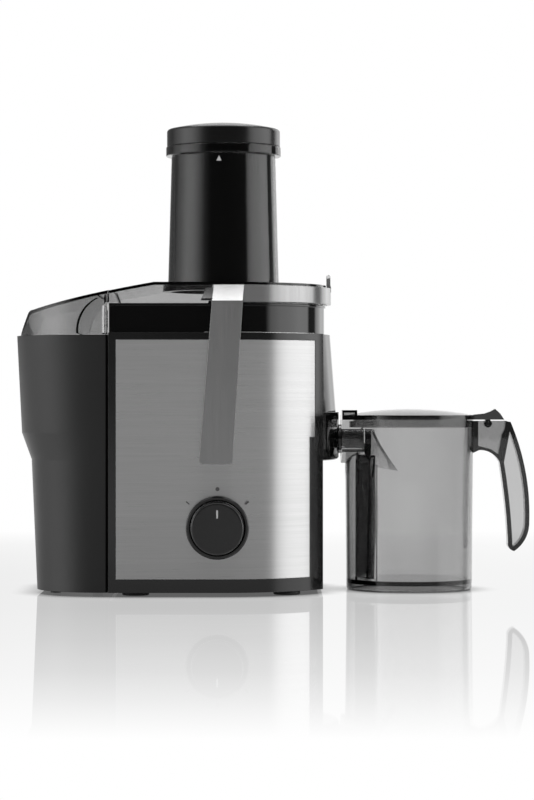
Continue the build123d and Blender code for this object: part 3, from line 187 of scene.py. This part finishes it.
def brushed(name, base, rough, hair, rotation, depth=0.00001, edge=0.0007):
    """Brushed stainless steel. hair is the fineness of the brush lines along x, y and z."""
    material, n, shader, _ = new_material(name)
    fine = n.noise(scale=hair, size=1.0, detail=4, rough=0.65)
    broad = n.noise(scale=tuple(h * 0.23 for h in hair), size=1.0, detail=2)
    cloud = n.noise(size=9, detail=2)
    tone = n.math("MULTIPLY", n.spread(fine, 0.94, 1.05), n.spread(broad, 0.97, 1.03))
    n.put(shader, "Base Color", n.grey(n.math("MULTIPLY", tone, base)))
    n.put(shader, "Metallic", 1.0)
    wear = n.spread(cloud, 0.96, 1.05)
    n.put(shader, "Roughness", n.math("MULTIPLY", n.spread(fine, rough * 0.9, rough * 1.1), wear))
    n.put(shader, "Anisotropic", 0.8)
    n.put(shader, "Anisotropic Rotation", rotation)
    tangent = n.add("ShaderNodeTangent", direction_type="RADIAL", axis="Z")
    n.put(shader, "Tangent", tangent.outputs[0])
    n.put(shader, "Normal", n.bump(fine, 0.15, depth, n.soft_edge(edge)))
    return material


def metal(name, base, rough, size=400, colour=None):
    """A plain metal with fine machining marks and a little tarnish."""
    material, n, shader, _ = new_material(name)
    marks = n.noise(size=size, detail=4)
    cloud = n.noise(size=30, detail=3)
    tone = n.math("MULTIPLY", n.spread(marks, 0.85, 1.1), n.spread(cloud, 0.85, 1.08))
    if colour:
        mix = n.add("ShaderNodeMix", data_type="RGBA", blend_type="MULTIPLY")
        mix.inputs[0].default_value = 1.0
        n.link(n.grey(tone), mix.inputs[6])
        mix.inputs[7].default_value = (*colour, 1)
        n.put(shader, "Base Color", mix.outputs[2])
    else:
        n.put(shader, "Base Color", n.grey(n.math("MULTIPLY", tone, base)))
    n.put(shader, "Metallic", 1.0)
    n.put(shader, "Roughness", n.math("MULTIPLY", n.spread(cloud, 0.8, 1.2), rough))
    n.put(shader, "Normal", n.bump(marks, 0.2, 0.00004))
    return material


def smoked(name, density, rough=0.02, tint=0.97, opaque_below=None, deeper_below=None):
    """Clear plastic with a grey tint that deepens with its thickness.

    Lamps shine through it. Where x is under opaque_below it is solid black, and under
    deeper_below its tint is deeper.
    """
    material, n, shader, out = new_material(name)
    flow = n.noise(scale=(1, 1, 0.6), size=35, detail=2)
    speck = n.noise(size=900, detail=2)
    clear_tint = n.spread(flow, tint - 0.02, tint)
    split = n.add("ShaderNodeSeparateXYZ")
    n.link(n.place(), split.inputs[0])
    if deeper_below is not None:
        depth = n.spread(split.outputs[0], 0.8, 1.0, deeper_below - 0.004, deeper_below)
        clear_tint = n.math("MULTIPLY", clear_tint, depth)
    n.put(shader, "Roughness", n.spread(speck, rough * 0.7, rough * 1.5))
    if opaque_below is None:
        n.put(shader, "Base Color", n.grey(clear_tint))
        n.put(shader, "Transmission Weight", 1.0)
    else:
        clear_end = n.math("GREATER_THAN", split.outputs[0], opaque_below)
        n.put(shader, "Base Color", n.grey(n.math("MULTIPLY_ADD", clear_tint, clear_end, 0.003)))
        n.put(shader, "Transmission Weight", clear_end)
    n.put(shader, "IOR", 1.47)
    n.put(shader, "Normal", n.bump(flow, 0.12, 0.0004))
    volume = n.add("ShaderNodeVolumeAbsorption")
    volume.inputs["Color"].default_value = (0.02, 0.02, 0.02, 1)
    volume.inputs["Density"].default_value = density
    n.link(volume.outputs[0], out.inputs["Volume"])
    clear = n.add("ShaderNodeBsdfTransparent")
    clear.inputs[0].default_value = (0.75, 0.75, 0.75, 1)
    path = n.add("ShaderNodeLightPath")
    mix = n.add("ShaderNodeMixShader")
    n.link(path.outputs["Is Shadow Ray"], mix.inputs[0])
    n.link(shader.outputs[0], mix.inputs[1])
    n.link(clear.outputs[0], mix.inputs[2])
    n.link(mix.outputs[0], out.inputs["Surface"])
    return material


spout_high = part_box("juice_spout")[1]
panel_steel = brushed("panel_steel", 0.46, 0.30, hair=(26, 26, 2600), rotation=0.25)
arm_steel = brushed("arm_steel", 0.30, 0.24, hair=(1500, 1500, 40), rotation=0.25)
screen_steel = metal("screen_steel", 0.5, 0.35)
zinc = metal("zinc_plate", 0.45, 0.42)
aluminium = metal("cast_aluminium", 0.55, 0.45, size=900)
lamination = metal("lamination", 0.25, 0.5)
copper = metal("copper_wire", 0.6, 0.32, size=1500, colour=(0.85, 0.42, 0.2))
gloss_black = moulded("gloss_black", 0.0028, 0.06, 700, 0.00001, peel=0.00005)
frame_black = moulded("frame_black", 0.003, 0.16, 900, 0.00002, peel=0.00004)
bin_black = moulded("bin_black", 0.003, 0.36, 2600, 0.00004)
satin_black = moulded("satin_black", 0.002, 0.2, 2000, 0.00004)
pusher_black = moulded("pusher_black", 0.002, 0.3, 800, 0.00002, peel=0.00004)
rubber = moulded("rubber", 0.02, 0.7, 1600, 0.0001)
carbon = moulded("carbon", 0.03, 0.6, 2400, 0.0001)
nylon = moulded("nylon", 0.55, 0.42, 1500, 0.00005)
circuit = moulded("circuit", 0.05, 0.4, 600, 0.00005)
bead_steel = metal("bead_steel", 0.5, 0.25)
mark_dark = moulded("mark_dark", 0.09, 0.5, 3000, 0.00002)
mark_white = moulded("mark_white", 0.6, 0.45, 3000, 0.00002)
smoke = smoked("smoke_plastic", 175)
handle_smoke = smoked("handle_plastic", 320)
lid_smoke = smoked("lid_plastic", 175, deeper_below=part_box("pulp_container")[1][0])
chute_smoke = smoked("chute_plastic", 560)
jug_lid_smoke = smoked("jug_lid_plastic", 330)
separator_smoke = smoked("separator_plastic", 700)
spout_smoke = smoked("spout_plastic", 175, opaque_below=spout_high[0] - 0.0206)

dress(panel_steel, "front_steel_panel", "rear_steel_panel")
dress(arm_steel, "lock_arm")
dress(screen_steel, "filter_screen", "grater_disc", "basket_rim")
dress(screen_steel, "motor_shaft", "arm_pins", "knob_shaft", "commutator")
dress(zinc, "base_screws", "motor_bolts", "lower_bearing", "upper_bearing")
dress(aluminium, "lower_bracket", "upper_bracket")
dress(lamination, "stator_core", "armature_core")
dress(copper, "field_coils", "armature_windings")
dress(gloss_black, "juice_bowl", "spout_housing")
dress(frame_black, "housing_shell")
dress(bin_black, "pulp_container")
dress(satin_black, "knob_cap", "knob_bezel", "pusher_cap", "latch_pads")
dress(pusher_black, "pusher_body")
dress(rubber, "rubber_feet", "bowl_seal", "shaft_seal", "motor_bushes")
dress(rubber, "cable_grommet", "base_plate", "arm_bushes")
dress(carbon, "carbon_brushes", "brush_holders")
dress(nylon, "basket_hub", "drive_coupling", "cooling_fan", "motor_deck", "speed_switch", "interlock_switch")
dress(circuit, "control_board")
dress(mark_white, "knob_pointer")
dress(smoke, "pulp_deflector", "jug_body")
dress(jug_lid_smoke, "jug_lid")
dress(lid_smoke, "lid_shell")
dress(chute_smoke, "feed_chute", "chute_collar")
dress(handle_smoke, "jug_handle", "lid_hinge_pin")
dress(separator_smoke, "foam_separator")
dress(spout_smoke, "juice_spout")


# ---------------------------------------------------------------- small marks and fittings
MM = 0.001


def piece(name, points, faces, material, body):
    """A mesh piece in the row frame that rides on a body."""
    mesh = bpy.data.meshes.new(name)
    mesh.from_pydata(points, [], faces)
    mesh.validate()
    work = bmesh.new()
    work.from_mesh(mesh)
    bmesh.ops.recalc_face_normals(work, faces=work.faces)
    work.to_mesh(mesh)
    work.free()
    obj = bpy.data.objects.new(name, mesh)
    scene.collection.objects.link(obj)
    mesh.materials.append(material)
    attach(obj, body)
    return obj


def raised(name, outlines, material, body, front, back, bevel=0.00012):
    """Pad-printed or raised marks: closed outlines in the x-z plane, from y = front back to y = back."""
    points = []
    faces = []
    for outline in outlines:
        first = len(points)
        count = len(outline)
        points += [(x, front, z) for x, z in outline]
        points += [(x, back, z) for x, z in outline]
        faces.append([first + i for i in range(count)])
        faces.append([first + count + i for i in reversed(range(count))])
        for i in range(count):
            j = (i + 1) % count
            faces.append([first + j, first + i, first + count + i, first + count + j])
    obj = piece(name, points, faces, material, body)
    rounding = obj.modifiers.new("edges", "BEVEL")
    rounding.width = bevel
    rounding.segments = 2
    return obj


def tube(name, path, radius, material, body, closed=False):
    """A round bead along a path."""
    curve = bpy.data.curves.new(name, "CURVE")
    curve.dimensions = "3D"
    curve.bevel_depth = radius
    curve.bevel_resolution = 3
    curve.use_fill_caps = True
    line = curve.splines.new("POLY")
    line.points.add(len(path) - 1)
    for point, place in zip(line.points, path):
        point.co = (*place, 1)
    line.use_cyclic_u = closed
    obj = bpy.data.objects.new(name, curve)
    scene.collection.objects.link(obj)
    curve.materials.append(material)
    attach(obj, body)
    return obj


def rounded_bar(x, z, length, width, angle, steps=8):
    """A short bar with round ends, centred at x, z; angle is from upright, turning towards +x."""
    outline = []
    for end in (1, -1):
        for i in range(steps + 1):
            turn = math.pi * i / steps + (0 if end > 0 else math.pi)
            across = width / 2 * math.cos(turn)
            along = end * (length - width) / 2 + width / 2 * math.sin(turn)
            outline.append((x + across * math.cos(angle) + along * math.sin(angle),
                            z - across * math.sin(angle) + along * math.cos(angle)))
    return outline[::-1]


def disc(x, z, radius, steps=24):
    return [(x + radius * math.cos(2 * math.pi * i / steps), z + radius * math.sin(2 * math.pi * i / steps))
            for i in range(steps)][::-1]


bezel_low, bezel_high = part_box("knob_bezel")
panel_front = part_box("front_steel_panel")[0].y
knob_x = (bezel_low.x + bezel_high.x) / 2
knob_z = (bezel_low.z + bezel_high.z) / 2
DIAL_RADIUS = 28.5 * MM
ticks = []
for degrees in (-50, 50):
    turn = math.radians(degrees)
    ticks.append(rounded_bar(knob_x + DIAL_RADIUS * math.sin(turn), knob_z + DIAL_RADIUS * math.cos(turn),
                             3.4 * MM, 0.9 * MM, turn))
ticks.append(disc(knob_x, knob_z + DIAL_RADIUS, 1.5 * MM))
raised("dial_marks", ticks, mark_dark, "base", panel_front - 0.12 * MM, panel_front + 0.2 * MM, 0.00004)

chute_low, chute_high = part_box("feed_chute")
chute_x = (chute_low.x + chute_high.x) / 2
collar_low, collar_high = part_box("chute_collar")
mouth_radius = (collar_high.x - collar_low.x) / 2 - 1.5 * MM
TRIANGLE = 2.0 * MM
mark_x = chute_x - 2.7 * MM
mark_z = collar_low.z - 4.5 * MM
triangle = [
    (mark_x - TRIANGLE, mark_z - TRIANGLE),
    (mark_x, mark_z + TRIANGLE),
    (mark_x + TRIANGLE, mark_z - TRIANGLE),
]
mark_front = -mouth_radius - 0.4 * MM
mark_back = -mouth_radius + 0.5 * MM
raised("chute_mark", [triangle], mark_white, "lid", mark_front, mark_back, 0.00008)

bowl_low, bowl_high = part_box("juice_bowl")
line_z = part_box("housing_shell")[1].z + 0.4 * MM
BOWL_LINE_STEPS = 64
line_radius = (bowl_high.y - bowl_low.y) / 2 - 0.3 * MM
line_path = []
for i in range(BOWL_LINE_STEPS + 1):
    turn = math.radians(-152 + 124 * i / BOWL_LINE_STEPS)
    line_path.append((chute_x + line_radius * math.cos(turn), line_radius * math.sin(turn), line_z))
tube("bowl_flange_line", line_path, 0.45 * MM, bead_steel, "base")

rear_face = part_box("rear_steel_panel")[1].y
rear_x = (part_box("rear_steel_panel")[0].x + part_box("rear_steel_panel")[1].x) / 2
SLATS = 8
slats = []
for i in range(SLATS):
    slats.append(rounded_bar(rear_x - 40 * MM, 96 * MM + 7.5 * MM * i, 44 * MM, 3.2 * MM, math.pi / 2))
raised("rear_louvres", slats, frame_black, "base", rear_face + 0.9 * MM, rear_face - 0.3 * MM, 0.0005)
plate = rounded_bar(rear_x, 50 * MM, 50 * MM, 26 * MM, math.pi / 2)
raised("rear_plate", [plate], aluminium, "base", rear_face + 0.35 * MM, rear_face - 0.2 * MM, 0.0001)
rivets = [disc(rear_x + side * 20 * MM, 50 * MM, 1.5 * MM) for side in (-1, 1)]
raised("rear_plate_rivets", rivets, screen_steel, "base", rear_face + 0.9 * MM, rear_face + 0.1 * MM, 0.0003)


# ---------------------------------------------------------------- floor
def floor_material():
    """White sheet that glows evenly, with a painted contact shadow: an ambient occlusion node dims its glow
    close under the object. Its mirror image of the object fades away from it.
    """
    material = bpy.data.materials.new("floor_sheet")
    material.use_nodes = True
    n = Nodes(material.node_tree)
    out = n.add("ShaderNodeOutputMaterial")
    split = n.add("ShaderNodeSeparateXYZ")
    n.link(n.place(), split.inputs[0])
    across = n.math("SUBTRACT", n.math("ABSOLUTE", split.outputs[0]), 0.18)
    across = n.math("MAXIMUM", across, 0.0)
    square = n.math("ADD", n.math("POWER", across, 2.0), n.math("POWER", split.outputs[1], 2.0))
    reach = n.math("SQRT", square)
    fade = [(0.0, 0.46), (0.2, 0.45), (0.447, 0.38), (0.642, 0.29), (0.778, 0.17), (0.93, 0.0)]
    shine = n.ramp(reach, fade)
    # painted contact shadow: the floor's glow is dimmed from 1.0 down to 0.2 where ambient occlusion finds
    # the object within 22 mm
    painted_contact_shadow = n.add("ShaderNodeAmbientOcclusion", samples=8)
    painted_contact_shadow.inputs["Distance"].default_value = 0.022
    white = n.add("ShaderNodeEmission")
    n.link(n.spread(painted_contact_shadow.outputs["AO"], 0.2, 1.0, 0.4, 0.95), white.inputs["Strength"])
    mirror = n.add("ShaderNodeBsdfGlossy")
    mirror.inputs["Roughness"].default_value = 0.02
    mix = n.add("ShaderNodeMixShader")
    n.link(shine, mix.inputs[0])
    n.link(white.outputs[0], mix.inputs[1])
    n.link(mirror.outputs[0], mix.inputs[2])
    n.link(mix.outputs[0], out.inputs["Surface"])
    return material


floor_mesh = bpy.data.meshes.new("floor")
half = 8.0
corners = [(-half, -half, 0), (half, -half, 0), (half, half, 0), (-half, half, 0)]
floor_mesh.from_pydata(corners, [], [(0, 1, 2, 3)])
floor = bpy.data.objects.new("floor", floor_mesh)
scene.collection.objects.link(floor)
floor_mesh.materials.append(floor_material())


# ---------------------------------------------------------------- light
OVERHEAD_LEVEL = 6.0


def studio_world():
    """White backdrop for the camera.

    What the surfaces reflect is a dark room with soft boxes at the sides, behind and overhead.
    """
    world = bpy.data.worlds.new("studio")
    scene.world = world
    world.use_nodes = True
    n = Nodes(world.node_tree)
    out = n.add("ShaderNodeOutputWorld")
    coords = n.add("ShaderNodeTexCoord")
    split = n.add("ShaderNodeSeparateXYZ")
    n.link(coords.outputs["Generated"], split.inputs[0])
    x, y, z = split.outputs
    turn = n.math("ARCTAN2", x, n.math("MULTIPLY", y, -1.0))
    turn = n.math("MULTIPLY_ADD", turn, 0.5 / math.pi, 0.5)

    # degrees round the object from its front, positive to the right, and the brightness there
    peak = 4.0
    levels = [
        (-180, 1.0), (-172, 0.8), (-160, 0.2), (-140, 0.2), (-124, 0.25), (-101, 1.2), (-83, 2.4), (-67, 2.4),
        (-53, 1.4),
        (-40, 0.3), (-28, 0.07), (0, 0.06), (50, 0.08), (56, 1.8), (68, 2.6), (96, 2.8), (112, 2.0),
        (115, 0.12),
        (128, 0.1), (132, 1.3), (147, 1.8), (160, 1.0), (180, 1.0),
    ]
    ring = n.ramp(turn, [(degrees / 360 + 0.5, level / peak) for degrees, level in levels])
    ring = n.math("MULTIPLY", ring, peak)
    height = n.ramp(z, [(0.0, 1.0), (0.3, 1.0), (0.55, 0.35), (0.7, 0.15), (1.0, 0.0)])
    walls = n.math("MULTIPLY", ring, height)
    # a soft box hangs over the object, a little behind it
    high = n.ramp(z, [(0.0, 0.0), (0.8, 0.0), (0.86, 1.0)])
    rearward = n.ramp(y, [(0.0, 0.15), (0.08, 0.15), (0.16, 1.0)])
    over = n.math("MULTIPLY", high, rearward)
    roof = n.ramp(z, [(0.3, 0.0), (0.6, 0.35)])
    light = n.math("MULTIPLY_ADD", over, OVERHEAD_LEVEL, n.math("ADD", walls, roof))
    seen = n.add("ShaderNodeLightPath").outputs["Is Camera Ray"]
    level = n.math("MULTIPLY_ADD", light, n.math("SUBTRACT", 1.0, seen), seen)
    background = n.add("ShaderNodeBackground")
    n.link(n.grey(level), background.inputs["Color"])
    n.link(background.outputs[0], out.inputs["Surface"])


studio_world()

camera_data = bpy.data.cameras.new("camera")
camera = bpy.data.objects.new("camera", camera_data)
scene.collection.objects.link(camera)
SENSOR_WIDTH = 36.0
LENS = 123.5
CAMERA_PLACE = (-0.0055, -2.1, 0.1445)
camera_data.sensor_width = SENSOR_WIDTH
camera_data.lens = LENS
camera.location = CAMERA_PLACE
camera.rotation_euler = (math.pi / 2, 0, 0)
scene.camera = camera
